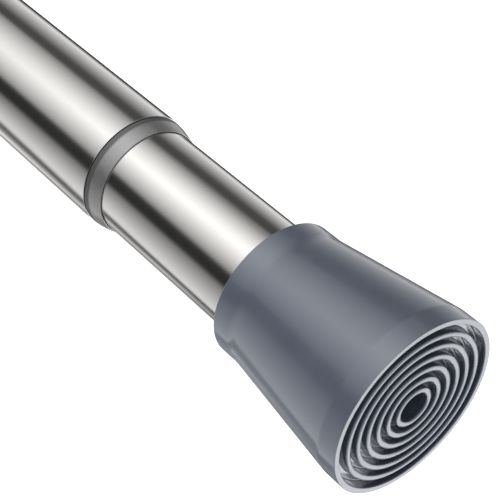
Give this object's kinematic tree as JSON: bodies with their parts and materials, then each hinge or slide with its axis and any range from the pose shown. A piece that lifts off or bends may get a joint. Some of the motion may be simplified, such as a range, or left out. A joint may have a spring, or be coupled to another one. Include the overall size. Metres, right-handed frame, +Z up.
{
  "type": "spring tension rod",
  "caption": "Adjustable spring tension rod: telescoping polished steel tubes with ring-faced rubber feet, lengthened by a lead screw and pressed against both walls by a spring.",
  "frame": {"origin": "centre of the face of the foot on the thicker tube, in the plane of its rings, where it presses on the wall", "axes": "+X along the rod towards the foot on the thinner tube, +Z up, +Y across; the rod is round about X"},
  "size_m": [0.4064, 0.0356, 0.0356],
  "materials": {
    "polished_steel": "polished nickel plate",
    "collar_grey": "satin grey",
    "foot_rubber": "satin blue-grey",
    "white_nylon": "moulded",
    "black_nylon": "moulded",
    "spring_steel": "oiled spring wire",
    "plain_steel": "zinc plated"
  },
  "bodies": {
    "outer": {"outer_tube": "polished_steel", "mouth_collar": "collar_grey", "fixed_foot": "foot_rubber", "spring_plug": "white_nylon", "plug_pin": "plain_steel", "spring": "spring_steel"},
    "core": {"spring_follower": "white_nylon", "lead_screw": "white_nylon", "screw_pin": "plain_steel", "stop_washer": "plain_steel", "stop_screw": "plain_steel"},
    "guide": {"guide_ring": "white_nylon"},
    "inner": {"drive_nut": "black_nylon", "nut_pins": "plain_steel", "inner_tube": "polished_steel", "end_plug": "black_nylon", "free_foot": "foot_rubber"}
  },
  "joints": [
    {"name": "spring_travel", "type": "slide", "parent": "outer", "child": "core", "axis": [1, 0, 0], "range_m": [-0.02, 0], "stiffness_N_per_m": 4960, "deforming": ["spring"]},
    {"name": "extend", "type": "slide", "parent": "core", "child": "guide", "axis": [1, 0, 0], "range_m": [0, 0.2032]},
    {"name": "twist", "type": "hinge", "parent": "guide", "child": "inner", "pos_m": [0, 0, 0], "axis": [1, 0, 0], "range_deg": [0, 12192]}
  ],
  "couplings": [
    {"joint": "twist", "follows": "extend", "rad_per_m": 1047.2}
  ]
}
